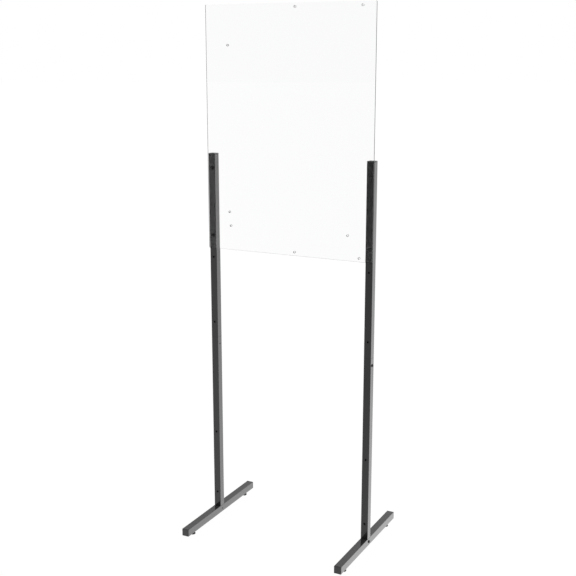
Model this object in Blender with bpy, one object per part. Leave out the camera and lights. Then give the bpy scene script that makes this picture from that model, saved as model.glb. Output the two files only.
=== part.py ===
"""Floor-standing sneeze guard: a clear acrylic panel screwed to two knock-down steel uprights.

X runs along the panel, -Y is the side that the panel hangs on, and Z is up from the floor.
The origin is on the floor, midway between the uprights. Lengths are in metres.
Each upright is two square tubes on an inner sleeve, and stands on a foot tube by a square
spigot. Button-head screws lock both joints from the outer side. Every foot has two levelling
glides: a pad that stays put on the floor, on a threaded stem that turns in a fixed insert.
"""
import math

import bmesh
import bpy
from mathutils import Matrix, Vector

MM = 0.001
GAP = 0.3 * MM  # left between neighbouring solids

# Steel frame
FRAME_WIDTH = 609.6 * MM
TUBE = 25.4 * MM
TUBE_WALL = 1.5 * MM
TUBE_CORNER = 1.0 * MM
FOOT_LENGTH = 457.2 * MM
FOOT_HEIGHT = 11.0 * MM  # underside of the foot tubes above the floor
UPRIGHT_HALF = 643.5 * MM  # each of the two tubes of an upright

# Heights of the rivet nuts above the lower end of their tube
NUT_FIRST = 55.0 * MM
NUT_PAIR = 232.8 * MM  # the two nuts that one edge of the panel takes
NUT_STEP = 78.0 * MM  # from one pair to the next in the upper tube

# Acrylic panel
PANEL_WIDTH = FRAME_WIDTH
PANEL_HEIGHT = 812.8 * MM
PANEL_THICK = 4.76 * MM
PANEL_CORNER = 3.0 * MM
PANEL_BEVEL = 0.4 * MM
PANEL_DROP = 44.2 * MM  # lower edge below the first pair of screws
PANEL_EDGE_HOLE = 46.2 * MM  # first hole for the turned panel, from the right edge
PANEL_SIDE_INSET = TUBE / 2
PANEL_END_INSET = 12.0 * MM  # holes along the upper and lower edges
ACCESSORY_HOLE_X = 83.0 * MM  # holes for clip-on accessories, from the left edge
ACCESSORY_HOLE_Z = 276.2 * MM  # the same, from the panel's middle
PASS_HOLE_X = 217.5 * MM  # lower pair of accessory holes, from the panel's middle
PASS_HOLE_Z = 83.0 * MM  # the same, above the lower edge
WASHER_THICK = 0.6 * MM

# Threads, drilled holes and what they hold, as radii
M6 = 3.0 * MM
M8 = 4.0 * MM
M6_HOLE = M6 + GAP
M8_HOLE = M8 + GAP
PANEL_HOLE = 3.4 * MM
NUT_BODY = 4.45 * MM
NUT_HOLE = NUT_BODY + GAP
INSERT_BODY = 5.45 * MM
INSERT_HOLE = INSERT_BODY + GAP
PILOT_HOLE = 2.4 * MM

# Inner joint pieces
SLEEVE_HALF = TUBE / 2 - TUBE_WALL - GAP
SPIGOT_HALF = SLEEVE_HALF - 0.1 * MM
JOINT_WALL = 3.0 * MM
JOINT_CORNER = 1.0 * MM
SLEEVE_ABOVE = 42.0 * MM
SLEEVE_BELOW = 98.0 * MM
SPIGOT_ABOVE = 42.0 * MM
SLEEVE_SCREW_DROP = 25.4 * MM  # screw below the seam of the upright

# Moulded caps
CAP_HEAD = 4.0 * MM

# Levelling glides
GLIDE_FROM_END = 44.5 * MM
PAD_RADIUS = 9.5 * MM
STEM_LENGTH = 32.0 * MM  # from the floor to the stem's upper end

# Points round one ring of a round piece, and round one corner of a square one
ROUND = 12
CORNER = 3

TUBE_X = (FRAME_WIDTH - TUBE) / 2
FOOT_TOP = FOOT_HEIGHT + TUBE
FOOT_MIDDLE = FOOT_HEIGHT + TUBE / 2
LOWER_BOTTOM = FOOT_TOP + GAP
UPPER_BOTTOM = LOWER_BOTTOM + UPRIGHT_HALF + GAP
UPRIGHT_TOP = UPPER_BOTTOM + UPRIGHT_HALF
LOWER_NUTS = [LOWER_BOTTOM + NUT_FIRST + NUT_PAIR * i for i in range(2)]
UPPER_NUTS = [
    UPPER_BOTTOM + NUT_FIRST + pair * (NUT_PAIR + NUT_STEP) + NUT_PAIR * i
    for pair in range(2)
    for i in range(2)
]
PANEL_NUTS = UPPER_NUTS[2:]
PANEL_BOTTOM = PANEL_NUTS[0] - PANEL_DROP
TUBE_FRONT = -TUBE / 2
PANEL_BACK = TUBE_FRONT - GAP - WASHER_THICK - GAP
PANEL_FRONT = PANEL_BACK - PANEL_THICK
FRONT_WASHER = PANEL_FRONT - GAP
SCREW_SEAT = FRONT_WASHER - WASHER_THICK - GAP

TO_FRONT = Matrix.Rotation(math.radians(90), 4, "X")  # turns local +Z to -Y
TO_BACK = Matrix.Rotation(math.radians(-90), 4, "X")  # turns local +Z to +Y
SIDES = {"left": -1, "right": 1}
ENDS = {"front": -1, "rear": 1}


def clear_scene():
    for thing in list(bpy.data.objects):
        bpy.data.objects.remove(thing, do_unlink=True)


def finish(name, colour, roughness, metallic=0.0, transmission=0.0):
    """A plain Principled material for one kind of surface."""
    material = bpy.data.materials.new(name)
    material.use_nodes = True
    shader = material.node_tree.nodes["Principled BSDF"]
    shader.inputs["Base Color"].default_value = (*colour, 1.0)
    shader.inputs["Roughness"].default_value = roughness
    shader.inputs["Metallic"].default_value = metallic
    shader.inputs["Transmission Weight"].default_value = transmission
    material.diffuse_color = (*colour, 1.0)
    return material


def circle(radius, height):
    """A ring of points about local Z; radius and height in millimetres."""
    angles = [2 * math.pi * i / ROUND for i in range(ROUND)]
    return [Vector((radius * math.cos(a), radius * math.sin(a), height)) * MM for a in angles]


def hexagon(flats, height):
    """A hexagon across its flats, with as many points as a circle has."""
    ring = []
    for i in range(ROUND):
        angle = 2 * math.pi * i / ROUND
        off_flat = (angle + math.pi / 6) % (math.pi / 3) - math.pi / 6
        radius = flats / 2 / math.cos(off_flat)
        ring.append(Vector((radius * math.cos(angle), radius * math.sin(angle), height)) * MM)
    return ring


def rectangle(half_x, half_y, radius, height):
    """A rectangle with round corners; metres."""
    ring = []
    for quarter in range(4):
        sx = 1 if quarter in (0, 3) else -1
        sy = 1 if quarter in (0, 1) else -1
        centre = Vector((sx * (half_x - radius), sy * (half_y - radius), height))
        for i in range(CORNER):
            angle = math.pi / 2 * (quarter + i / (CORNER - 1))
            ring.append(centre + Vector((math.cos(angle), math.sin(angle), 0)) * radius)
    return ring


def square(half, radius, height):
    """A square with round corners; millimetres."""
    return rectangle(half * MM, half * MM, radius * MM, height * MM)


def loft(name, rings, through=False):
    """Skin rings of equal count; through joins the last ring to the first, as on a pipe."""
    bm = bmesh.new()
    loops = [[bm.verts.new(point) for point in ring] for ring in rings]
    following = loops[1:] + loops[:1] if through else loops[1:]
    for lower, upper in zip(loops, following):
        for i in range(len(lower)):
            j = (i + 1) % len(lower)
            bm.faces.new((lower[i], lower[j], upper[j], upper[i]))
    if not through:
        bm.faces.new(loops[0])
        bm.faces.new(loops[-1])
    bmesh.ops.recalc_face_normals(bm, faces=bm.faces)
    mesh = bpy.data.meshes.new(name)
    bm.to_mesh(mesh)
    bm.free()
    mesh.shade_smooth()
    mesh.set_sharp_from_angle(angle=math.radians(35))
    return mesh


def place(name, mesh, material, location, turn=None, parent=None):
    """Put one sub-part in the scene, at a place given in the world or under its parent."""
    thing = bpy.data.objects.new(name, mesh)
    bpy.context.scene.collection.objects.link(thing)
    thing.matrix_basis = Matrix.Translation(location) @ (turn or Matrix.Identity(4))
    thing.parent = parent
    if material.name not in mesh.materials:
        mesh.materials.append(material)
    return thing


def cylinder_cutter(bm, centre, axis, radius, depth):
    """Add a drill of the given depth, centred on a point and lying along an axis."""
    turn = Vector(axis).to_track_quat("Z", "Y").to_matrix().to_4x4()
    bmesh.ops.create_cone(
        bm,
        cap_ends=True,
        segments=ROUND,
        radius1=radius,
        radius2=radius,
        depth=depth,
        matrix=Matrix.Translation(centre) @ turn,
    )


def block_cutter(bm, centre, sides):
    """Add a square punch."""
    shape = Matrix.Diagonal((*sides, 1))
    bmesh.ops.create_cube(bm, size=1.0, matrix=Matrix.Translation(centre) @ shape)


def cut(thing, drills, punches=()):
    """Cut round and square holes, given in world coordinates, out of one sub-part."""
    bm = bmesh.new()
    for centre, axis, radius, depth in drills:
        cylinder_cutter(bm, centre, axis, radius, depth)
    for centre, sides in punches:
        block_cutter(bm, centre, sides)
    mesh = bpy.data.meshes.new(thing.name + "_cutter")
    bm.to_mesh(mesh)
    bm.free()
    cutter = bpy.data.objects.new(thing.name + "_cutter", mesh)
    bpy.context.scene.collection.objects.link(cutter)
    cutter.hide_render = True
    cutter.display_type = "WIRE"
    boolean = thing.modifiers.new("holes", "BOOLEAN")
    boolean.operation = "DIFFERENCE"
    boolean.solver = "EXACT"
    boolean.object = cutter


def square_tube(name, half, corner, wall, length):
    """A square tube standing on local Z = 0."""
    inner = half - wall
    inner_corner = max(corner - wall, 0.4 * MM)
    rings = [
        rectangle(half, half, corner, 0),
        rectangle(half, half, corner, length),
        rectangle(inner, inner, inner_corner, length),
        rectangle(inner, inner, inner_corner, 0),
    ]
    return loft(name, rings, through=True)


def end_cap_mesh():
    """A push-in cap: a head with round edges on a hollow plug with three grip ribs."""
    half = TUBE / 2 / MM
    corner = TUBE_CORNER / MM
    top = CAP_HEAD / MM
    grip = SLEEVE_HALF / MM
    rings = [
        square(half - 1.3, corner - 0.3, top),
        square(half - 0.4, corner - 0.1, top - 0.4),
        square(half, corner, top - 1.2),
        square(half, corner, 0.3),
        square(grip, 0.8, 0.3),
        square(grip - 0.6, 0.7, -1.5),
    ]
    for rib in range(3):
        rib_top = -2.0 - 3.6 * rib
        rings.append(square(grip, 0.8, rib_top))
        rings.append(square(grip, 0.8, rib_top - 1.0))
        rings.append(square(grip - 0.6, 0.7, rib_top - 1.6))
    rings += [square(grip - 0.9, 0.6, -13.5), square(grip - 2, 0.5, -13.5), square(grip - 2, 0.5, -0.8)]
    return loft("end_cap", rings)


def rivet_nut_mesh():
    """A set M6 rivet nut: thin flange at local Z = 0, crimped collar behind the tube's wall."""
    body = NUT_BODY / MM
    bore = M6_HOLE / MM
    outline = [
        (bore + 0.3, 0.9),
        (body + 0.35, 0.9),
        (body + 0.35, 0.3),
        (body, 0.3),
        (body, -1.8),
        (body + 1.35, -2.2),
        (body + 1.35, -3.6),
        (body, -5.0),
        (body, -12.0),
        (bore, -12.0),
        (bore, 0.5),
    ]
    return loft("rivet_nut", [circle(*point) for point in outline], through=True)


def glide_insert_mesh():
    """An M8 insert set in the foot's lower wall; local Z = 0 is the foot's underside."""
    body = INSERT_BODY / MM
    bore = M8_HOLE / MM
    outline = [
        (bore + 0.4, -0.8),
        (body + 1.75, -0.8),
        (body + 1.75, -0.3),
        (body, -0.3),
        (body, 1.8),
        (body + 1.35, 2.2),
        (body + 1.35, 4.0),
        (body, 5.6),
        (body, 14.0),
        (bore, 14.0),
        (bore, -0.4),
    ]
    return loft("glide_insert", [circle(*point) for point in outline], through=True)


def glide_pad_mesh():
    """A glide's pad on the floor, with a pocket and lip that hold the stem's button."""
    rim = PAD_RADIUS / MM
    outline = [
        (rim - 0.6, 0.0),
        (rim, 0.6),
        (rim, 2.5),
        (rim - 0.3, 3.4),
        (rim - 1.3, 4.2),
        (rim - 1.9, 4.4),
        (3.3, 4.4),
        (3.3, 3.6),
        (4.6, 3.6),
        (4.6, 1.4),
    ]
    return loft("glide_pad", [circle(*point) for point in outline])


def glide_stem_mesh():
    """A glide's stem: button, neck, hexagon for a spanner, and M8 shaft."""
    shaft = M8 / MM
    top = STEM_LENGTH / MM
    rings = [
        circle(3.6, 1.7),
        circle(4.2, 2.1),
        circle(4.2, 3.3),
        circle(2.9, 3.3),
        circle(2.9, 5.0),
        hexagon(11.0, 5.0),
        hexagon(11.0, 7.4),
        circle(shaft, 7.4),
        circle(shaft, top - 0.8),
        circle(shaft - 0.8, top),
    ]
    return loft("glide_stem", rings)


def button_screw_mesh():
    """A low button-head M6 socket screw; local Z = 0 is the seat of its head."""
    shank = M6 / MM
    rings = [
        hexagon(4.0, 0.8),
        hexagon(4.0, 2.6),
        circle(2.9, 2.6),
        circle(4.1, 2.1),
        circle(4.7, 1.3),
        circle(4.9, 0.5),
        circle(4.8, 0.0),
        circle(shank, 0.0),
        circle(shank, -15.4),
        circle(shank - 0.6, -16.0),
    ]
    return loft("button_screw", rings)


def washer_mesh(name, inner, outer):
    """A flat washer on local Z = 0."""
    top = WASHER_THICK / MM
    rings = [circle(inner, 0), circle(outer, 0), circle(outer, top), circle(inner, top)]
    return loft(name, rings, through=True)


def panel_mesh():
    """The panel lying flat on local Z = 0, with eased edges."""
    half_x = PANEL_WIDTH / 2
    half_y = PANEL_HEIGHT / 2
    eased = (half_x - PANEL_BEVEL, half_y - PANEL_BEVEL, PANEL_CORNER - PANEL_BEVEL)
    rings = [
        rectangle(*eased, 0),
        rectangle(half_x, half_y, PANEL_CORNER, PANEL_BEVEL),
        rectangle(half_x, half_y, PANEL_CORNER, PANEL_THICK - PANEL_BEVEL),
        rectangle(*eased, PANEL_THICK),
    ]
    return loft("acrylic_panel", rings)


def panel_holes():
    """Places in the panel's plane (x, z): both ways to hang it, and the accessory holes."""
    half_x = PANEL_WIDTH / 2
    half_z = PANEL_HEIGHT / 2
    middle = PANEL_BOTTOM + half_z
    holes = []
    for way in (-1, 1):
        for step in (0, NUT_PAIR):
            holes.append((way * (half_x - PANEL_SIDE_INSET), PANEL_BOTTOM + PANEL_DROP + step))
            across = half_x - PANEL_EDGE_HOLE - step
            holes.append((across, middle + way * (half_z - PANEL_END_INSET)))
        holes.append((ACCESSORY_HOLE_X - half_x, middle + way * ACCESSORY_HOLE_Z))
        holes.append((way * PASS_HOLE_X, PANEL_BOTTOM + PASS_HOLE_Z))
    return holes


def make_panel(finishes):
    centre = Vector((0, PANEL_BACK, PANEL_BOTTOM + PANEL_HEIGHT / 2))
    panel = place("acrylic_panel", panel_mesh(), finishes["acrylic"], centre, TO_FRONT)
    drills = []
    for x, z in panel_holes():
        middle = Vector((x, (PANEL_FRONT + PANEL_BACK) / 2, z))
        drills.append((middle, (0, 1, 0), PANEL_HOLE, 2 * PANEL_THICK))
    cut(panel, drills)


def front_drills(x, heights):
    """Holes for rivet nuts in the front wall of an upright."""
    return [(Vector((x, TUBE_FRONT, z)), (0, 1, 0), NUT_HOLE, 4 * TUBE_WALL) for z in heights]


def joint_drills(x, side, height, face=TUBE / 2, wall=TUBE_WALL):
    """A screw hole through the outer wall of a tube, and a pilot hole through its inner wall."""
    middle = face - wall / 2
    screw = (Vector((x + side * middle, 0, height)), (1, 0, 0), M6_HOLE, 2 * wall)
    pilot = (Vector((x - side * middle, 0, height)), (1, 0, 0), PILOT_HOLE, 2 * wall)
    return [screw, pilot]


def place_joint_screw(name, mesh, finishes, side, height):
    turn = Matrix.Rotation(side * math.radians(90), 4, "Y")
    face = side * (FRAME_WIDTH / 2 + GAP)
    place(name, mesh, finishes["black_oxide"], Vector((face, 0, height)), turn)


def make_upright(label, side, shapes, finishes):
    """Both tubes of an upright, the sleeve that joins them, its screw and the top cap."""
    x = side * TUBE_X
    seam = UPPER_BOTTOM - GAP
    screw_height = seam - SLEEVE_SCREW_DROP
    coat = finishes["powder_coat"]
    lower = place(f"{label}_lower_upright", shapes["upright"].copy(), coat, Vector((x, 0, LOWER_BOTTOM)))
    cut(lower, front_drills(x, LOWER_NUTS) + joint_drills(x, side, screw_height))
    upper = place(f"{label}_upper_upright", shapes["upright"].copy(), coat, Vector((x, 0, UPPER_BOTTOM)))
    cut(upper, front_drills(x, UPPER_NUTS))
    sleeve_base = Vector((x, 0, seam - SLEEVE_BELOW))
    sleeve = place(f"{label}_joining_sleeve", shapes["sleeve"].copy(), finishes["black_oxide"], sleeve_base)
    cut(sleeve, joint_drills(x, side, screw_height, SLEEVE_HALF, JOINT_WALL))
    place_joint_screw(f"{label}_sleeve_screw", shapes["button_screw"], finishes, side, screw_height)
    place(f"{label}_top_cap", shapes["end_cap"], finishes["plastic"], Vector((x, 0, UPRIGHT_TOP)))


def make_foot(label, side, shapes, finishes):
    """A foot tube with its end caps, and the spigot and screw that hold the upright."""
    x = side * TUBE_X
    flat = Vector((x, 0, FOOT_MIDDLE))
    start = flat - Vector((0, FOOT_LENGTH / 2, 0))
    foot = place(f"{label}_foot_tube", shapes["foot"].copy(), finishes["powder_coat"], start, TO_BACK)
    punch = 2 * (SPIGOT_HALF + GAP)
    drills = joint_drills(x, side, FOOT_MIDDLE)
    for way in ENDS.values():
        base = Vector((x, way * (FOOT_LENGTH / 2 - GLIDE_FROM_END), FOOT_HEIGHT))
        drills.append((base, (0, 0, 1), INSERT_HOLE, 4 * TUBE_WALL))
    cut(foot, drills, [(Vector((x, 0, FOOT_TOP)), (punch, punch, 4 * TUBE_WALL))])
    spigot_base = Vector((x, 0, FOOT_HEIGHT + TUBE_WALL + GAP))
    spigot = place(f"{label}_foot_spigot", shapes["spigot"].copy(), finishes["black_oxide"], spigot_base)
    cut(spigot, joint_drills(x, side, FOOT_MIDDLE, SPIGOT_HALF, JOINT_WALL))
    place_joint_screw(f"{label}_spigot_screw", shapes["button_screw"], finishes, side, FOOT_MIDDLE)
    for end, way in ENDS.items():
        tip = Vector((x, way * FOOT_LENGTH / 2, FOOT_MIDDLE))
        turn = TO_FRONT if way < 0 else TO_BACK
        place(f"{label}_{end}_foot_cap", shapes["end_cap"], finishes["plastic"], tip, turn)


def make_glide(label, x, y, shapes, finishes):
    """One levelling glide; its pad and stem hang from an empty on the screw's axis."""
    insert_at = Vector((x, y, FOOT_HEIGHT))
    place(f"{label}_glide_insert", shapes["glide_insert"], finishes["zinc"], insert_at)
    axis = bpy.data.objects.new(f"{label}_glide_axis", None)
    bpy.context.scene.collection.objects.link(axis)
    axis.location = (x, y, 0)
    middle = Vector((0, 0, 0))
    place(f"{label}_glide_pad", shapes["glide_pad"], finishes["nylon"], middle, parent=axis)
    place(f"{label}_glide_stem", shapes["glide_stem"], finishes["zinc"], middle, parent=axis)


def make_nuts_and_screws(label, side, shapes, finishes):
    """The rivet nuts of an upright, and the screws and washers of the pair that holds the panel."""
    x = side * TUBE_X
    for number, height in enumerate(LOWER_NUTS + UPPER_NUTS, start=1):
        seat = Vector((x, TUBE_FRONT, height))
        place(f"{label}_rivet_nut_{number}", shapes["rivet_nut"], finishes["powder_coat"], seat, TO_FRONT)
    for level, height in zip(("lower", "upper"), PANEL_NUTS):
        corner = f"{label}_{level}"
        behind = Vector((x, TUBE_FRONT - GAP, height))
        place(f"{corner}_back_washer", shapes["back_washer"], finishes["nylon"], behind, TO_FRONT)
        ahead = Vector((x, FRONT_WASHER, height))
        place(f"{corner}_front_washer", shapes["front_washer"], finishes["nylon"], ahead, TO_FRONT)
        seat = Vector((x, SCREW_SEAT, height))
        place(f"{corner}_panel_screw", shapes["button_screw"], finishes["black_oxide"], seat, TO_FRONT)


def main():
    clear_scene()
    finishes = {
        "powder_coat": finish("black_powder_coat", (0.014, 0.014, 0.015), 0.32),
        "acrylic": finish("clear_acrylic", (0.96, 0.975, 0.98), 0.03, transmission=1.0),
        "plastic": finish("black_moulded_plastic", (0.018, 0.018, 0.019), 0.5),
        "nylon": finish("black_nylon", (0.02, 0.02, 0.02), 0.6),
        "black_oxide": finish("black_oxide_steel", (0.03, 0.03, 0.032), 0.45, metallic=0.6),
        "zinc": finish("zinc_plated_steel", (0.62, 0.63, 0.64), 0.35, metallic=1.0),
    }
    sleeve_length = SLEEVE_BELOW + SLEEVE_ABOVE
    spigot_length = TUBE - TUBE_WALL + SPIGOT_ABOVE
    shapes = {
        "upright": square_tube("upright", TUBE / 2, TUBE_CORNER, TUBE_WALL, UPRIGHT_HALF),
        "foot": square_tube("foot", TUBE / 2, TUBE_CORNER, TUBE_WALL, FOOT_LENGTH),
        "sleeve": square_tube("sleeve", SLEEVE_HALF, JOINT_CORNER, JOINT_WALL, sleeve_length),
        "spigot": square_tube("spigot", SPIGOT_HALF, JOINT_CORNER, JOINT_WALL, spigot_length),
        "end_cap": end_cap_mesh(),
        "rivet_nut": rivet_nut_mesh(),
        "glide_insert": glide_insert_mesh(),
        "glide_pad": glide_pad_mesh(),
        "glide_stem": glide_stem_mesh(),
        "button_screw": button_screw_mesh(),
        "back_washer": washer_mesh("back_washer", 5.2, 7.5),
        "front_washer": washer_mesh("front_washer", 3.3, 5.5),
    }
    make_panel(finishes)
    for label, side in SIDES.items():
        make_upright(label, side, shapes, finishes)
        make_foot(label, side, shapes, finishes)
        make_nuts_and_screws(label, side, shapes, finishes)
        for end, way in ENDS.items():
            y = way * (FOOT_LENGTH / 2 - GLIDE_FROM_END)
            make_glide(f"{label}_{end}", side * TUBE_X, y, shapes, finishes)


main()
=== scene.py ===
import math

import bmesh
import bpy
from mathutils import Matrix, Vector


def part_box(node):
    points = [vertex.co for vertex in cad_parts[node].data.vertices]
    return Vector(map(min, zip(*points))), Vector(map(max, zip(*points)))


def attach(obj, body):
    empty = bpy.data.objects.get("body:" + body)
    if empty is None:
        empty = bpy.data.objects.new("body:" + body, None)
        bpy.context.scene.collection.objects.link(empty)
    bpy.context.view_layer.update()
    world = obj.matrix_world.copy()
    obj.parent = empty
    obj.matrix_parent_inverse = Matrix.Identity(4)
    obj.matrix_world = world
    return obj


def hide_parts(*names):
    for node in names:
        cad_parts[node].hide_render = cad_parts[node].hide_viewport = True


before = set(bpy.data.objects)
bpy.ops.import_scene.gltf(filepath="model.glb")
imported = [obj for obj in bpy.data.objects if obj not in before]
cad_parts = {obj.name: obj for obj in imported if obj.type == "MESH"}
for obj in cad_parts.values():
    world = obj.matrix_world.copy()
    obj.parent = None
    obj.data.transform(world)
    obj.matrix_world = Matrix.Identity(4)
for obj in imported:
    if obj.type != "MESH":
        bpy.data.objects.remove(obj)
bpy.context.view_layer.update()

MM = 0.001

SIDES = {"left": -1, "right": 1}
ENDS = {"front": -1, "rear": 1}
LEVELS = ("lower", "upper")
NUT_COUNT = 6

ROUND = 48  # points round a turned piece
ARC = 7  # points round one corner of a square piece
SUPPORT = 0.3 * MM  # flat strip beside each corner that keeps the faces' shading flat
SHARP_ANGLE = 32  # degrees from which an edge is shaded sharp
PAST = 1.0  # millimetres that a cutter stands past the face that it cuts

# Square tube, in millimetres
TUBE_HALF = 12.7
TUBE_CORNER = 1.0
TUBE_WALL = 1.5

# Radii of threads and drilled holes, in millimetres
M6 = 3.0
M8 = 4.0
SCREW_HOLE = M6 + 0.3
PILOT_HOLE = 2.4
NUT_HOLE = 4.75
INSERT_HOLE = 5.75
PANEL_HOLE = 3.4
SPIGOT_ROOM = 0.3  # gap on each side of the spigot in the foot's upper wall

# Heights of the turned and moulded pieces over their own seats, in millimetres
CAP_TOP = 4.0
SCREW_TOP = 2.6
NUT_TOP = 0.9
WASHER_TOP = 0.6
INSERT_TOP = 14.0
PAD_TOP = 4.4
STEM_TOP = 32.0

# The panel's spare holes, from its edges or its middle, in millimetres
ACROSS_HOLE_INSET = 12.0  # from the upper and the lower edge, for the panel laid across
ACROSS_HOLE_EDGE = 46.2  # from the right edge, to the first of them
ACCESSORY_HOLE_INSET = 83.0
ACCESSORY_HOLE_Z = 276.2
ACCESSORY_HOLE_X = 217.5
CUT_FACE = 0.3  # a face that looks less than this forward or back belongs to the cut edge

CAMERA_PLACE = (1.5316, -2.9936, 1.6564)  # metres
CAMERA_DOWN = 12.91  # degrees below the level
CAMERA_ROUND = 27.21  # degrees round from straight in front
CAMERA_LENS = 63.79
CAMERA_SENSOR = 36.0

FLOOR_DROP = 10.5 * MM  # room over the floor for the glides to be screwed out
FLOOR_RADIUS = 60  # metres
FLOOR_GLOW = 0.965

# The studio's light as reflections see it: an even part, and parts that each come up towards a
# vector, between two cosines, to a strength
AMBIENT = 0.03
STUDIO_LIGHT = (
    ((0.97, 0.25, 0.1), -0.1, 0.9, 0.75),
    ((0.45, 0.87, 0.0), 0.2, 0.95, 1.15),
    ((-1.0, 0.0, 0.0), 0.36, 0.8, 1.2),
    ((-0.6, -0.6, -0.5), 0.5, 0.95, 0.3),
    ((0.0, 0.0, -1.0), 0.05, 0.6, 0.75),
    ((0.0, 0.0, 1.0), 0.0, 0.8, 0.35),
    ((0.0, -1.0, -0.13), 0.94, 0.995, 0.7),
)

# ---------------------------------------------------------------- outlines and skins


def polar(radius, angle, height):
    """A point round local Z, given in millimetres and radians."""
    return Vector((radius * math.cos(angle), radius * math.sin(angle), height)) * MM


def circle(radius, height):
    """A ring about local Z; millimetres."""
    return [polar(radius, 2 * math.pi * i / ROUND, height) for i in range(ROUND)]


def circles(*steps):
    """Rings about local Z, each given as its radius and height."""
    return [circle(radius, height) for radius, height in steps]


def hexagon(flats, height, round_off=None):
    """A hexagon across its flats; round_off is the radius that its corners are turned down to."""
    points = []
    for i in range(ROUND):
        angle = 2 * math.pi * i / ROUND
        off_flat = (angle + math.pi / 6) % (math.pi / 3) - math.pi / 6
        radius = flats / 2 / math.cos(off_flat)
        points.append(polar(min(radius, round_off or radius), angle, height))
    return points


def rectangle(half_x, half_y, radius, height):
    """A rectangle with round corners and a support point beside each; metres."""
    points = []
    for quarter in range(4):
        sx = 1 if quarter in (0, 3) else -1
        sy = 1 if quarter in (0, 1) else -1
        centre = Vector((sx * (half_x - radius), sy * (half_y - radius), height))
        start = math.pi / 2 * quarter
        along_first = Vector((math.cos(start - math.pi / 2), math.sin(start - math.pi / 2), 0))
        along_last = Vector((math.cos(start + math.pi), math.sin(start + math.pi), 0))
        arc = []
        for i in range(ARC):
            angle = start + math.pi / 2 * i / (ARC - 1)
            arc.append(centre + Vector((math.cos(angle), math.sin(angle), 0)) * radius)
        points.append(arc[0] + along_first * SUPPORT)
        points += arc
        points.append(arc[-1] + along_last * SUPPORT)
    return points


def square(half, radius, height):
    """A square with round corners; millimetres."""
    return rectangle(half * MM, half * MM, radius * MM, height * MM)


def thread(radius, depth, pitch, start, stop, steps=8):
    """Rings of a right-hand thread from one height to another; its ends run out smoothly."""
    way = 1 if stop > start else -1
    count = int(abs(stop - start) / pitch * steps)
    rings = []
    for k in range(count + 1):
        height = start + way * k * pitch / steps
        fade = min(1.0, abs(height - start) / pitch, abs(stop - height) / pitch)
        ring = []
        for i in range(ROUND):
            phase = (height / pitch - i / ROUND) % 1.0
            groove = min(1.0, 1.25 * (1 - abs(2 * phase - 1)))
            ring.append(polar(radius - depth * fade * groove, 2 * math.pi * i / ROUND, height))
        rings.append(ring)
    return rings


def fillet(radius, height, size, start, steps=5):
    """Quarter-round rings on an outer edge; start is the angle in degrees where the round begins."""
    rings = []
    for k in range(steps + 1):
        angle = math.radians(start + 90 * k / steps)
        rings.append(circle(radius + size * math.cos(angle), height + size * math.sin(angle)))
    return rings


def join_rings(bm, rings, through=False):
    """Join rings of equal count into one closed body; through joins the last ring to the first."""
    loops = [[bm.verts.new(point) for point in ring] for ring in rings]
    following = loops[1:] + loops[:1] if through else loops[1:]
    for lower, upper in zip(loops, following):
        for i in range(len(lower)):
            j = (i + 1) % len(lower)
            bm.faces.new((lower[i], lower[j], upper[j], upper[i]))
    if not through:
        bm.faces.new(loops[0])
        bm.faces.new(loops[-1])


def skin(name, rings, through=False):
    """A smooth-shaded mesh of joined rings."""
    bm = bmesh.new()
    join_rings(bm, rings, through)
    bmesh.ops.recalc_face_normals(bm, faces=bm.faces)
    mesh = bpy.data.meshes.new(name)
    bm.to_mesh(mesh)
    bm.free()
    smooth(mesh)
    return mesh


def smooth(mesh):
    mesh.shade_smooth()
    mesh.set_sharp_from_angle(angle=math.radians(SHARP_ANGLE))


# ---------------------------------------------------------------- placing and drilling


def centre(node):
    low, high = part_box(node)
    return (low + high) / 2


def turned(origin, way):
    """Where a mesh goes whose local +Z looks along way."""
    return Matrix.Translation(origin) @ way.to_track_quat("Z", "Y").to_matrix().to_4x4()


def seat(node, direction, top):
    """Where a mesh goes: its +Z along direction, and its height top on the node's far face."""
    low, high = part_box(node)
    way = Vector(direction)
    middle = (low + high) / 2
    reach = max(way.dot(low), way.dot(high))
    return turned(middle + way * (reach - top * MM - way.dot(middle)), way)


def show(name, mesh, matrix, material, body="root", nodes=()):
    """Make a visible piece that stands for CAD nodes and rides on a body."""
    if not mesh.materials:
        mesh.materials.append(material)
    piece = bpy.data.objects.new(name, mesh)
    bpy.context.scene.collection.objects.link(piece)
    piece.matrix_world = matrix
    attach(piece, body)
    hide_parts(*nodes)


def add_cutter(bm, origin, way, outline):
    """Add a turned cutter; outline is its radius and height, step by step along way from origin."""
    place = turned(origin, way)
    join_rings(bm, [[place @ point for point in ring] for ring in circles(*outline)])


def drill(bm, face, outward, radius, chamfer):
    """Cut the tube's wall from the point face on its outside, and break the hole's edge."""
    outline = [
        (radius + chamfer + PAST, PAST),
        (radius + chamfer, 0),
        (radius, -chamfer),
        (radius, -TUBE_WALL - PAST),
    ]
    add_cutter(bm, face, Vector(outward), outline)


def through_hole(bm, front, back, radius, chamfer=0.3):
    """Cut from one face of the sheet to the other, and break both edges of the hole."""
    across = front - back
    depth = across.length / MM
    outline = [
        (radius + chamfer + PAST, -PAST),
        (radius + chamfer, 0),
        (radius, chamfer),
        (radius, depth - chamfer),
        (radius + chamfer, depth),
        (radius + chamfer + PAST, depth + PAST),
    ]
    add_cutter(bm, back, across.normalized(), outline)


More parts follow.
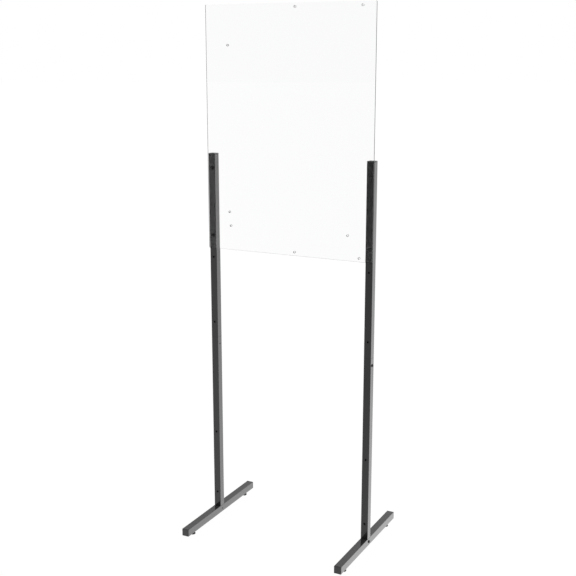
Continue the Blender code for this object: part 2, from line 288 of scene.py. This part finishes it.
def carve(mesh, matrix, bm, wall_material=None):
    """The mesh with cutters, given in world coordinates, taken out of it."""
    bmesh.ops.recalc_face_normals(bm, faces=bm.faces)
    cutter_mesh = bpy.data.meshes.new("cutter")
    bm.to_mesh(cutter_mesh)
    bm.free()
    if wall_material:
        cutter_mesh.materials.append(wall_material)
    body = bpy.data.objects.new("carved", mesh)
    cutter = bpy.data.objects.new("cutter", cutter_mesh)
    for thing in (body, cutter):
        bpy.context.scene.collection.objects.link(thing)
    body.matrix_world = matrix
    boolean = body.modifiers.new("holes", "BOOLEAN")
    boolean.operation = "DIFFERENCE"
    boolean.solver = "EXACT"
    boolean.material_mode = "TRANSFER" if wall_material else "INDEX"
    boolean.object = cutter
    bpy.context.view_layer.update()
    carved = bpy.data.meshes.new_from_object(body.evaluated_get(bpy.context.evaluated_depsgraph_get()))
    for thing in (body, cutter):
        bpy.data.objects.remove(thing)
    smooth(carved)
    return carved


# ---------------------------------------------------------------- materials


class Nodes:
    """Short calls for the nodes of one material or world."""

    def __init__(self, tree):
        self.nodes = tree.nodes
        self.links = tree.links

    def math(self, operation, first, second, clamp=False):
        """Reckon with two inputs, each a number or another node's output."""
        node = self.nodes.new("ShaderNodeMath")
        node.operation = operation
        node.use_clamp = clamp
        for socket, value in zip(node.inputs, (first, second)):
            if isinstance(value, (int, float)):
                socket.default_value = value
            else:
                self.links.new(value, socket)
        return node.outputs["Value"]


class Finish(Nodes):
    """A Principled material and the nodes that give it its detail."""

    def __init__(self, name, colour, roughness, metallic=0.0):
        self.material = bpy.data.materials.new(name)
        self.material.use_nodes = True
        super().__init__(self.material.node_tree)
        self.shader = self.nodes["Principled BSDF"]
        self.colour = (*colour, 1.0)
        self.shader.inputs["Base Color"].default_value = self.colour
        self.shader.inputs["Roughness"].default_value = roughness
        self.shader.inputs["Metallic"].default_value = metallic
        self.place = self.nodes.new("ShaderNodeTexCoord").outputs["Object"]

    def noise(self, scale, detail=2.0, stretch=(1, 1, 1)):
        """Noise with so many features to a metre, as an output from 0 to 1."""
        mapping = self.nodes.new("ShaderNodeMapping")
        mapping.inputs["Scale"].default_value = stretch
        self.links.new(self.place, mapping.inputs["Vector"])
        node = self.nodes.new("ShaderNodeTexNoise")
        node.inputs["Scale"].default_value = scale
        node.inputs["Detail"].default_value = detail
        self.links.new(mapping.outputs["Vector"], node.inputs["Vector"])
        return node.outputs["Fac"]

    def spread(self, source, low, high, to_low=0.0, to_high=1.0):
        """Map a stretch of a value onto another, clamped."""
        node = self.nodes.new("ShaderNodeMapRange")
        ends = {"From Min": low, "From Max": high, "To Min": to_low, "To Max": to_high}
        for key, value in ends.items():
            node.inputs[key].default_value = value
        self.links.new(source, node.inputs["Value"])
        return node.outputs["Result"]

    def tint(self, factor, colour):
        """Blend the base colour towards another colour."""
        node = self.nodes.new("ShaderNodeMix")
        node.data_type = "RGBA"
        node.inputs["A"].default_value = self.colour
        node.inputs["B"].default_value = (*colour, 1.0)
        self.links.new(factor, node.inputs["Factor"])
        self.links.new(node.outputs["Result"], self.shader.inputs["Base Color"])

    def roughen(self, source):
        self.links.new(source, self.shader.inputs["Roughness"])

    def bump(self, source, depth, strength):
        node = self.nodes.new("ShaderNodeBump")
        node.inputs["Distance"].default_value = depth
        node.inputs["Strength"].default_value = strength
        self.links.new(source, node.inputs["Height"])
        self.links.new(node.outputs["Normal"], self.shader.inputs["Normal"])

    def upward(self):
        """How far a face looks up, from 0 to 1."""
        geometry = self.nodes.new("ShaderNodeNewGeometry")
        split = self.nodes.new("ShaderNodeSeparateXYZ")
        self.links.new(geometry.outputs["Normal"], split.inputs["Vector"])
        return self.spread(split.outputs["Z"], 0.3, 1.0)


def powder_coat():
    """Semi-gloss black powder coat: orange peel, cloudy gloss, and dust settled on top."""
    coat = Finish("powder_coat", (0.018, 0.018, 0.0185), 0.14)
    cloud = coat.noise(22, 4)
    peel = coat.noise(620, 1.5)
    grit = coat.noise(2400, 1)
    gloss = coat.math("ADD", cloud, coat.math("MULTIPLY", peel, 0.3))
    coat.roughen(coat.spread(gloss, 0.4, 0.9, 0.11, 0.18))
    coat.bump(coat.math("ADD", peel, coat.math("MULTIPLY", grit, 0.25)), 0.03 * MM, 0.55)
    dust = coat.math("MULTIPLY", coat.upward(), coat.spread(coat.noise(140, 6), 0.45, 0.75, 0.01, 0.07))
    coat.tint(dust, (0.42, 0.41, 0.39))
    return coat.material


def moulded_plastic():
    """Satin black moulding with a fine spark-eroded grain."""
    plastic = Finish("moulded_plastic", (0.02, 0.02, 0.021), 0.42)
    grain = plastic.noise(3200, 2)
    flow = plastic.noise(60, 3, (1, 1, 0.3))
    plastic.roughen(plastic.spread(flow, 0.3, 0.7, 0.36, 0.5))
    plastic.bump(grain, 0.02 * MM, 0.6)
    plastic.tint(plastic.spread(flow, 0.45, 0.8, 0.0, 0.2), (0.045, 0.045, 0.047))
    return plastic.material


def nylon():
    """Matt black nylon, a little greyer where it is scuffed."""
    pad = Finish("nylon", (0.022, 0.022, 0.022), 0.6)
    scuff = pad.noise(420, 6)
    pad.roughen(pad.spread(scuff, 0.3, 0.7, 0.5, 0.72))
    pad.bump(pad.noise(1500, 3), 0.03 * MM, 0.6)
    pad.tint(pad.spread(scuff, 0.55, 0.8, 0.0, 0.45), (0.09, 0.088, 0.085))
    return pad.material


def black_oxide():
    """Oiled black-oxide steel: dark, with a faint warm cast and thin bright spots."""
    steel = Finish("black_oxide_steel", (0.02, 0.02, 0.021), 0.4, 0.55)
    blotch = steel.noise(380, 5)
    steel.roughen(steel.spread(blotch, 0.3, 0.7, 0.32, 0.52))
    steel.bump(steel.noise(2800, 2), 0.01 * MM, 0.5)
    steel.tint(steel.spread(blotch, 0.6, 0.85, 0.0, 0.5), (0.075, 0.066, 0.06))
    return steel.material


def zinc():
    """Bright zinc plate with a drawn grain and a cloudy bloom."""
    plate = Finish("zinc_steel", (0.62, 0.63, 0.645), 0.3, 1.0)
    bloom = plate.noise(180, 4)
    drawn = plate.noise(900, 2, (1, 1, 0.05))
    plate.roughen(plate.spread(plate.math("ADD", bloom, drawn), 0.6, 1.4, 0.22, 0.42))
    plate.bump(drawn, 0.008 * MM, 0.5)
    plate.tint(plate.spread(bloom, 0.5, 0.8, 0.0, 0.5), (0.5, 0.49, 0.44))
    return plate.material


def acrylic():
    """The sheet's polished faces: barely wavy, with little of the studio reflected in them."""
    sheet = Finish("clear_acrylic", (0.972, 0.974, 0.974), 0.0)
    sheet.shader.inputs["Transmission Weight"].default_value = 1.0
    sheet.shader.inputs["IOR"].default_value = 1.491
    sheet.shader.inputs["Specular Tint"].default_value = (0.3, 0.3, 0.3, 1.0)
    sheet.bump(sheet.noise(9, 1), 0.02 * MM, 0.3)
    return sheet.material


def acrylic_edge_painted_shade():
    """The sheet's cut edges and drilled holes, opaque: near-black painted shade for the dark that a
    clear edge shows, with fine lines.
    """
    # Near-black base colour with no transmission: painted shade standing for the darkness seen in the
    # clear sheet's edges.
    cut = Finish("acrylic_edge_painted_shade", (0.01, 0.011, 0.0112), 0.35)
    cut.shader.inputs["Specular IOR Level"].default_value = 0.1
    lines = cut.noise(3500, 2, (1, 1, 0.2))
    cut.roughen(cut.spread(lines, 0.3, 0.7, 0.3, 0.45))
    cut.bump(lines, 0.02 * MM, 0.5)
    cut.tint(cut.spread(lines, 0.5, 0.8, 0.0, 0.5), (0.03, 0.033, 0.033))
    return cut.material


# ---------------------------------------------------------------- pieces


def tube_mesh(name, length):
    """A square tube on local Z = 0, with the burr taken off its ends; millimetres."""
    inner = TUBE_HALF - TUBE_WALL
    inner_corner = 0.4
    ease = 0.25
    rings = [
        square(TUBE_HALF - ease, TUBE_CORNER - ease, 0),
        square(TUBE_HALF, TUBE_CORNER, ease),
        square(TUBE_HALF, TUBE_CORNER, ease + 0.5),
        square(TUBE_HALF, TUBE_CORNER, length - ease - 0.5),
        square(TUBE_HALF, TUBE_CORNER, length - ease),
        square(TUBE_HALF - ease, TUBE_CORNER - ease, length),
        square(inner, inner_corner, length),
        square(inner, inner_corner, 0),
    ]
    return skin(name, rings, through=True)


def end_cap_mesh():
    """A push-in cap: a crowned head with a round edge, on a ribbed hollow plug."""
    edge = 1.1
    rings = [square(9.0, 0.5, CAP_TOP), square(10.8, 0.6, CAP_TOP - 0.04)]
    for k in range(7):
        angle = math.radians(90 - 15 * k)
        inset = edge * (1 - math.cos(angle))
        height = 2.75 + edge * math.sin(angle)
        rings.append(square(TUBE_HALF - inset, TUBE_CORNER - inset * 0.3, height))
    rings += [square(TUBE_HALF, TUBE_CORNER, 0.55), square(TUBE_HALF - 0.25, TUBE_CORNER - 0.1, 0.3)]
    rings += [square(10.9, 0.8, 0.3), square(10.3, 0.7, -1.5)]
    for rib in range(3):
        top = -2.0 - 3.6 * rib
        rings += [square(10.9, 0.8, top), square(10.9, 0.8, top - 1.0), square(10.3, 0.7, top - 1.6)]
    rings += [square(10.0, 0.6, -13.5), square(8.9, 0.5, -13.5), square(8.9, 0.5, -0.8)]
    return skin("end_cap", rings)


def rivet_nut_mesh():
    """An M6 rivet nut: flange with a round edge, crimped collar, threaded bore."""
    rings = [circle(3.65, NUT_TOP)]
    rings += fillet(4.6, NUT_TOP - 0.2, 0.2, 90)[::-1]
    rings += circles((4.8, 0.35), (4.75, 0.3), (4.45, 0.3), (4.45, -1.8), (5.4, -2.0))
    rings += circles((5.8, -2.5), (5.8, -3.3), (5.3, -4.1), (4.45, -5.0), (4.45, -11.8))
    rings += circles((4.3, -12.0), (3.3, -12.0))
    rings += thread(3.3, -0.28, 1.0, -11.8, -0.2, 6)
    rings += [circle(3.3, 0.45)]
    return skin("rivet_nut", rings, through=True)


def button_screw_mesh():
    """A low button-head M6 socket screw; local Z = 0 is the seat of its head."""
    rings = [hexagon(4.0, 0.8), hexagon(4.0, 2.35), circle(2.5, SCREW_TOP), circle(2.9, SCREW_TOP)]
    for k in range(1, 9):
        angle = math.radians(90 - 10 * k)
        rings.append(circle(2.9 + 2.0 * math.cos(angle), 0.55 + 2.05 * math.sin(angle)))
    rings += circles((4.9, 0.5), (4.88, 0.2), (4.75, 0.0), (3.2, 0.0), (M6, -0.3))
    rings += thread(M6, 0.45, 1.0, -2.0, -15.2)
    rings += circles((2.7, -15.6), (2.3, -16.0))
    return skin("button_screw", rings)


def washer_mesh(name, inner, outer):
    """A flat washer with eased edges on local Z = 0."""
    ease = 0.12
    outline = [
        (inner, ease),
        (inner + ease, 0),
        (outer - ease, 0),
        (outer, ease),
        (outer, WASHER_TOP - ease),
        (outer - ease, WASHER_TOP),
        (inner + ease, WASHER_TOP),
        (inner, WASHER_TOP - ease),
    ]
    return skin(name, circles(*outline), through=True)


def glide_insert_mesh():
    """The M8 insert in the foot's lower wall; local Z = 0 is the foot's underside."""
    rings = [circle(4.7, -0.8)]
    rings += fillet(7.0, -0.6, 0.2, -90)
    rings += circles((7.2, -0.4), (7.1, -0.3), (5.45, -0.3), (5.45, 1.8), (6.4, 2.0))
    rings += circles((6.8, 2.6), (6.8, 3.6), (6.2, 4.6), (5.45, 5.6), (5.45, INSERT_TOP))
    rings += [circle(4.3, INSERT_TOP)]
    rings += thread(4.3, -0.3, 1.25, 13.8, 0.0, 6)
    rings += [circle(4.3, -0.4)]
    return skin("glide_insert", rings, through=True)


def glide_pad_mesh():
    """A glide's pad: rounded foot, waist line, and the pocket and lip that hold the stem's button."""
    rings = circles((3.0, 0.25), (8.2, 0.25), (8.5, 0.0), (8.9, 0.0))
    rings += fillet(8.9, 0.6, 0.6, -90)[1:]
    rings += circles((9.5, 1.7), (9.35, 1.85), (9.35, 2.05), (9.5, 2.2), (9.5, 2.5))
    for k in range(1, 9):
        angle = math.radians(10 * k)
        rings.append(circle(7.5 + 2.0 * math.cos(angle), 2.5 + 1.9 * math.sin(angle)))
    rings += circles((7.4, PAD_TOP), (3.6, PAD_TOP), (3.3, 4.1), (3.3, 3.6))
    rings += circles((4.6, 3.6), (4.6, 1.4))
    return skin("glide_pad", rings)


def glide_stem_mesh():
    """A glide's stem: button, neck, chamfered hexagon and M8 thread."""
    flats = 11.0
    corner = flats / math.sqrt(3)
    rings = circles((3.4, 1.7), (4.0, 1.8), (4.2, 2.1), (4.2, 3.1), (3.9, 3.3))
    rings += circles((2.9, 3.3), (2.9, 5.0))
    rings += [hexagon(flats, 5.0, flats / 2), hexagon(flats, 5.35, corner)]
    rings += [hexagon(flats, 7.05, corner), hexagon(flats, 7.4, flats / 2)]
    rings += circles((4.4, 7.4), (3.95, 7.7))
    rings += thread(M8, 0.55, 1.25, 7.8, 31.0)
    rings += circles((3.5, 31.4), (3.1, STEM_TOP))
    return skin("glide_stem", rings)


def panel_mesh(width, height, thick):
    """The sheet lying on local Z = 0, with polished round-off along its edges; metres."""
    corner = 3.0 * MM
    ease = 0.4 * MM
    rings = []
    for k in range(5):
        angle = math.radians(22.5 * k)
        inset = ease * (1 - math.sin(angle))
        rise = ease * (1 - math.cos(angle))
        rings.append(rectangle(width / 2 - inset, height / 2 - inset, corner - inset, rise))
    upper = [[Vector((p.x, p.y, thick - p.z)) for p in ring] for ring in rings[::-1]]
    flat = rectangle(width / 2 - 2 * ease, height / 2 - 2 * ease, corner - 2 * ease, 0)
    flat_top = [Vector((p.x, p.y, thick)) for p in flat]
    return skin("acrylic_panel", [flat, *rings, *upper, flat_top])


# ---------------------------------------------------------------- the assembly


def panel_holes(low, high):
    """Hole places (x, z) in the panel's plane, from its own edges and its four screws."""
    screws = [centre(f"{side}_{level}_panel_screw") for side in SIDES for level in LEVELS]
    rise = sorted({round(point.z - screws[0].z, 5) for point in screws})
    middle = (low.z + high.z) / 2
    end = (high.z - low.z) / 2 - ACROSS_HOLE_INSET * MM
    first = high.x - ACROSS_HOLE_EDGE * MM
    inset = ACCESSORY_HOLE_INSET * MM
    across = [(first - step, middle + way * end) for way in (-1, 1) for step in rise]
    column = [(low.x + inset, middle + way * ACCESSORY_HOLE_Z * MM) for way in (-1, 1)]
    row = [(way * ACCESSORY_HOLE_X * MM, low.z + inset) for way in (-1, 1)]
    return [(point.x, point.z) for point in screws] + across + column + row


def make_panel(sheet, edge):
    low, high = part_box("acrylic_panel")
    size = high - low
    matrix = seat("acrylic_panel", (0, -1, 0), size.y / MM)
    mesh = panel_mesh(size.x, size.z, size.y)
    mesh.materials.append(sheet)
    mesh.materials.append(edge)
    # Cut edges, and below the hole walls, take the edge material: opaque near-black painted shade, not
    # a colour the clear sheet has.
    for face in mesh.polygons:
        face.material_index = int(abs(face.normal.z) < CUT_FACE)
    cutters = bmesh.new()
    for x, z in panel_holes(low, high):
        through_hole(cutters, Vector((x, low.y, z)), Vector((x, high.y, z)), PANEL_HOLE)
    mesh = carve(mesh, matrix, cutters, edge)
    show("clear_panel", mesh, matrix, sheet, nodes=["acrylic_panel"])


def joint_drills(bm, low, high, side, height):
    """The screw's hole in the outer face of a tube, and the pilot hole in its inner face."""
    middle_y = (low.y + high.y) / 2
    outer = high.x if side > 0 else low.x
    inner = low.x if side > 0 else high.x
    drill(bm, Vector((outer, middle_y, height)), (side, 0, 0), SCREW_HOLE, 0.3)
    drill(bm, Vector((inner, middle_y, height)), (-side, 0, 0), PILOT_HOLE, 0.2)


def make_upright(label, side, coat):
    """Both tubes of an upright with all their drilled holes."""
    nuts = [centre(f"{label}_rivet_nut_{i + 1}") for i in range(NUT_COUNT)]
    joint = centre(f"{label}_sleeve_screw").z
    for half in LEVELS:
        node = f"{label}_{half}_upright"
        low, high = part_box(node)
        length = (high.z - low.z) / MM
        matrix = seat(node, (0, 0, 1), length)
        cutters = bmesh.new()
        for nut in nuts:
            if low.z < nut.z < high.z:
                drill(cutters, Vector((nut.x, low.y, nut.z)), (0, -1, 0), NUT_HOLE, 0.15)
        if low.z < joint < high.z:
            joint_drills(cutters, low, high, side, joint)
        mesh = carve(tube_mesh(node, length), matrix, cutters)
        show(f"{node}_tube", mesh, matrix, coat, nodes=[node])


def make_foot(label, side, coat):
    """A foot tube with its holes for the spigot, its screw and the two glides."""
    node = f"{label}_foot_tube"
    low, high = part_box(node)
    length = (high.y - low.y) / MM
    matrix = seat(node, (0, 1, 0), length)
    cutters = bmesh.new()
    joint_drills(cutters, low, high, side, centre(f"{label}_spigot_screw").z)
    for end in ENDS:
        glide = centre(f"{label}_{end}_glide_insert")
        drill(cutters, Vector((glide.x, glide.y, low.z)), (0, 0, -1), INSERT_HOLE, 0.15)
    spigot_low, spigot_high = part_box(f"{label}_foot_spigot")
    reach = spigot_high - spigot_low
    room = 2 * SPIGOT_ROOM * MM
    punch = Matrix.Translation(Vector((*centre(f"{label}_foot_spigot").xy, high.z)))
    sides = Matrix.Diagonal((reach.x + room, reach.y + room, 4 * TUBE_WALL * MM, 1))
    bmesh.ops.create_cube(cutters, size=1.0, matrix=punch @ sides)
    mesh = carve(tube_mesh(node, length), matrix, cutters)
    show(f"{node}_bar", mesh, matrix, coat, nodes=[node])


def make_assembly():
    coat = powder_coat()
    plastic = moulded_plastic()
    pad_nylon = nylon()
    oxide = black_oxide()
    plate = zinc()
    shapes = {
        "cap": end_cap_mesh(),
        "nut": rivet_nut_mesh(),
        "screw": button_screw_mesh(),
        "front_washer": washer_mesh("front_washer", 3.3, 5.5),
        "back_washer": washer_mesh("back_washer", 5.2, 7.5),
        "insert": glide_insert_mesh(),
        "pad": glide_pad_mesh(),
        "stem": glide_stem_mesh(),
    }
    forward = (0, -1, 0)
    up = (0, 0, 1)

    def put(node, shape, direction, top, material, body="root"):
        show(f"{node}_piece", shapes[shape], seat(node, direction, top), material, body, [node])

    make_panel(acrylic(), acrylic_edge_painted_shade())
    for label, side in SIDES.items():
        make_upright(label, side, coat)
        make_foot(label, side, coat)
        outward = (side, 0, 0)
        put(f"{label}_top_cap", "cap", up, CAP_TOP, plastic)
        for joint in ("sleeve", "spigot"):
            put(f"{label}_{joint}_screw", "screw", outward, SCREW_TOP, oxide)
        for number in range(1, NUT_COUNT + 1):
            put(f"{label}_rivet_nut_{number}", "nut", forward, NUT_TOP, coat)
        for level in LEVELS:
            corner = f"{label}_{level}"
            put(f"{corner}_panel_screw", "screw", forward, SCREW_TOP, oxide)
            put(f"{corner}_front_washer", "front_washer", forward, WASHER_TOP, pad_nylon)
            put(f"{corner}_back_washer", "back_washer", forward, WASHER_TOP, pad_nylon)
        for end, way in ENDS.items():
            corner = f"{label}_{end}"
            put(f"{corner}_foot_cap", "cap", (0, way, 0), CAP_TOP, plastic)
            put(f"{corner}_glide_insert", "insert", up, INSERT_TOP, plate)
            put(f"{corner}_glide_pad", "pad", up, PAD_TOP, pad_nylon, f"{corner}_pad")
            put(f"{corner}_glide_stem", "stem", up, STEM_TOP, plate, f"{corner}_stem")
        for hidden in (f"{label}_joining_sleeve", f"{label}_foot_spigot"):
            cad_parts[hidden].data.materials.clear()
            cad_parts[hidden].data.materials.append(oxide)


# ---------------------------------------------------------------- studio


def make_camera():
    data = bpy.data.cameras.new("camera")
    data.sensor_width = CAMERA_SENSOR
    data.lens = CAMERA_LENS
    camera = bpy.data.objects.new("camera", data)
    bpy.context.scene.collection.objects.link(camera)
    camera.location = CAMERA_PLACE
    camera.rotation_euler = (math.radians(90 - CAMERA_DOWN), 0, math.radians(CAMERA_ROUND))
    bpy.context.scene.camera = camera


class Studio(Nodes):
    """The world and the floor: white where they are seen, a shaded studio where they reflect."""

    def __init__(self, tree):
        super().__init__(tree)
        self.path = self.nodes.new("ShaderNodeLightPath").outputs

    def bounced(self):
        """1 for a ray that a surface has reflected or scattered, 0 for one that has come straight."""
        return self.math("ADD", self.path["Glossy Depth"], self.path["Diffuse Depth"], clamp=True)

    def seen(self):
        """1 for a ray straight from the camera or straight through the clear sheet."""
        straight = self.math("SUBTRACT", 1.0, self.bounced())
        through = self.math("MULTIPLY", straight, self.path["Is Transmission Ray"])
        return self.math("ADD", through, self.path["Is Camera Ray"], clamp=True)

    def ramp(self, direction, toward, start, stop, strength):
        """Light that comes up smoothly as the direction turns towards a vector."""
        dot = self.nodes.new("ShaderNodeVectorMath")
        dot.operation = "DOT_PRODUCT"
        self.links.new(direction, dot.inputs[0])
        dot.inputs[1].default_value = Vector(toward).normalized()
        rise = self.nodes.new("ShaderNodeMapRange")
        rise.interpolation_type = "SMOOTHSTEP"
        self.links.new(dot.outputs["Value"], rise.inputs["Value"])
        rise.inputs["From Min"].default_value = start
        rise.inputs["From Max"].default_value = stop
        rise.inputs["To Max"].default_value = strength
        return rise.outputs["Result"]


def make_floor():
    """A wide white floor that glows, so that the shadows on it stay pale, and isn't reflected."""
    bm = bmesh.new()
    bmesh.ops.create_circle(bm, cap_ends=True, segments=96, radius=FLOOR_RADIUS)
    mesh = bpy.data.meshes.new("floor")
    bm.to_mesh(mesh)
    bm.free()
    floor = bpy.data.objects.new("floor", mesh)
    bpy.context.scene.collection.objects.link(floor)
    floor.location.z = -FLOOR_DROP
    white = Finish("floor_white", (0.05, 0.05, 0.05), 0.9)
    white.shader.inputs["Emission Color"].default_value = (1, 1, 1, 1)
    white.shader.inputs["Emission Strength"].default_value = FLOOR_GLOW
    white.shader.inputs["Specular IOR Level"].default_value = 0.0
    studio = Studio(white.material.node_tree)
    mix = white.nodes.new("ShaderNodeMixShader")
    clear = white.nodes.new("ShaderNodeBsdfTransparent")
    white.links.new(studio.bounced(), mix.inputs["Fac"])
    white.links.new(white.shader.outputs["BSDF"], mix.inputs[1])
    white.links.new(clear.outputs["BSDF"], mix.inputs[2])
    white.links.new(mix.outputs["Shader"], white.nodes["Material Output"].inputs["Surface"])
    mesh.materials.append(white.material)
    floor.visible_glossy = False
    floor.visible_diffuse = False
    floor.visible_shadow = False


def make_world():
    """A white room to look at; in reflections, the studio's light in its parts."""
    world = bpy.data.worlds.new("studio")
    world.use_nodes = True
    studio = Studio(world.node_tree)
    direction = studio.nodes.new("ShaderNodeTexCoord").outputs["Generated"]
    total = AMBIENT
    for part in STUDIO_LIGHT:
        total = studio.math("ADD", total, studio.ramp(direction, *part))
    strength = studio.nodes.new("ShaderNodeMix")
    strength.inputs["B"].default_value = 1.0
    studio.links.new(studio.seen(), strength.inputs["Factor"])
    studio.links.new(total, strength.inputs["A"])
    background = studio.nodes["Background"]
    background.inputs["Color"].default_value = (1, 1, 1, 1)
    studio.links.new(strength.outputs["Result"], background.inputs["Strength"])
    bpy.context.scene.world = world
    bpy.context.scene.view_settings.view_transform = "Standard"


make_camera()
make_assembly()
make_floor()
make_world()
